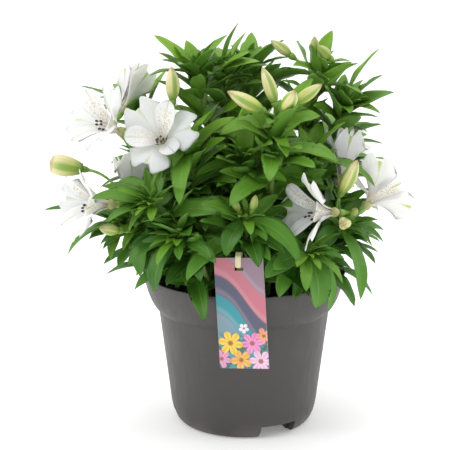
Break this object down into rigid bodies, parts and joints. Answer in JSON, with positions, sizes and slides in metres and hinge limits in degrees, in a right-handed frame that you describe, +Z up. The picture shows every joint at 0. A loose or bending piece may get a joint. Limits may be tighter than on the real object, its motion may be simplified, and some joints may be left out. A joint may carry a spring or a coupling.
{
  "type": "potted peruvian lily",
  "caption": "Bushy peruvian lily with white trumpet blooms, buds and lance-shaped leaves, growing in a round grey grower pot with a hanging tag.",
  "frame": {"origin": "centre of the pot's underside, on the pot's axis, in the plane that the pot stands on", "axes": "+Z up along the pot's axis, -Y towards the front where the tag hangs, +X to the right seen from the front"},
  "size_m": [0.3448, 0.2697, 0.381],
  "materials": {
    "pot": "matte warm grey moulded plastic",
    "soil": "damp dark peat with fibres and crumbs",
    "tag": "satin printed card",
    "stake": "cream plastic strip",
    "leaf": "satin green leaf with parallel veins",
    "stalk": "yellow-green stalks, ovaries and striped buds",
    "tepal": "white tepals with green midribs and brown flecks"
  },
  "bodies": {
    "root": {"bloom_01": "tepal", "bloom_02": "tepal", "bloom_03": "tepal", "bloom_04": "tepal", "bloom_05": "tepal", "bloom_06": "tepal", "bloom_07": "tepal", "bloom_08": "tepal", "bloom_09": "tepal", "bloom_10": "tepal", "bloom_11": "tepal", "leafy_stem_01": "leaf", "leafy_stem_02": "leaf", "leafy_stem_03": "leaf", "leafy_stem_04": "leaf", "leafy_stem_05": "leaf", "leafy_stem_06": "leaf", "leafy_stem_07": "leaf", "leafy_stem_08": "leaf", "leafy_stem_09": "leaf", "leafy_stem_10": "leaf", "leafy_stem_11": "leaf", "leafy_stem_12": "leaf", "leafy_stem_13": "leaf", "leafy_stem_14": "leaf", "leafy_stem_15": "leaf", "leafy_stem_16": "leaf", "leafy_stem_17": "leaf", "leafy_stem_18": "leaf", "leafy_stem_19": "leaf", "leafy_stem_20": "leaf", "leafy_stem_21": "leaf", "leafy_stem_22": "leaf", "leafy_stem_23": "leaf", "leafy_stem_24": "leaf", "leafy_stem_25": "leaf", "leafy_stem_26": "leaf", "pot": "pot", "soil": "soil", "tag": "tag", "tag_stake": "stake", "umbel_01": "stalk", "umbel_02": "stalk", "umbel_03": "stalk", "umbel_04": "stalk", "umbel_05": "stalk", "umbel_06": "stalk", "umbel_07": "stalk", "umbel_08": "stalk"}
  },
  "joints": []
}
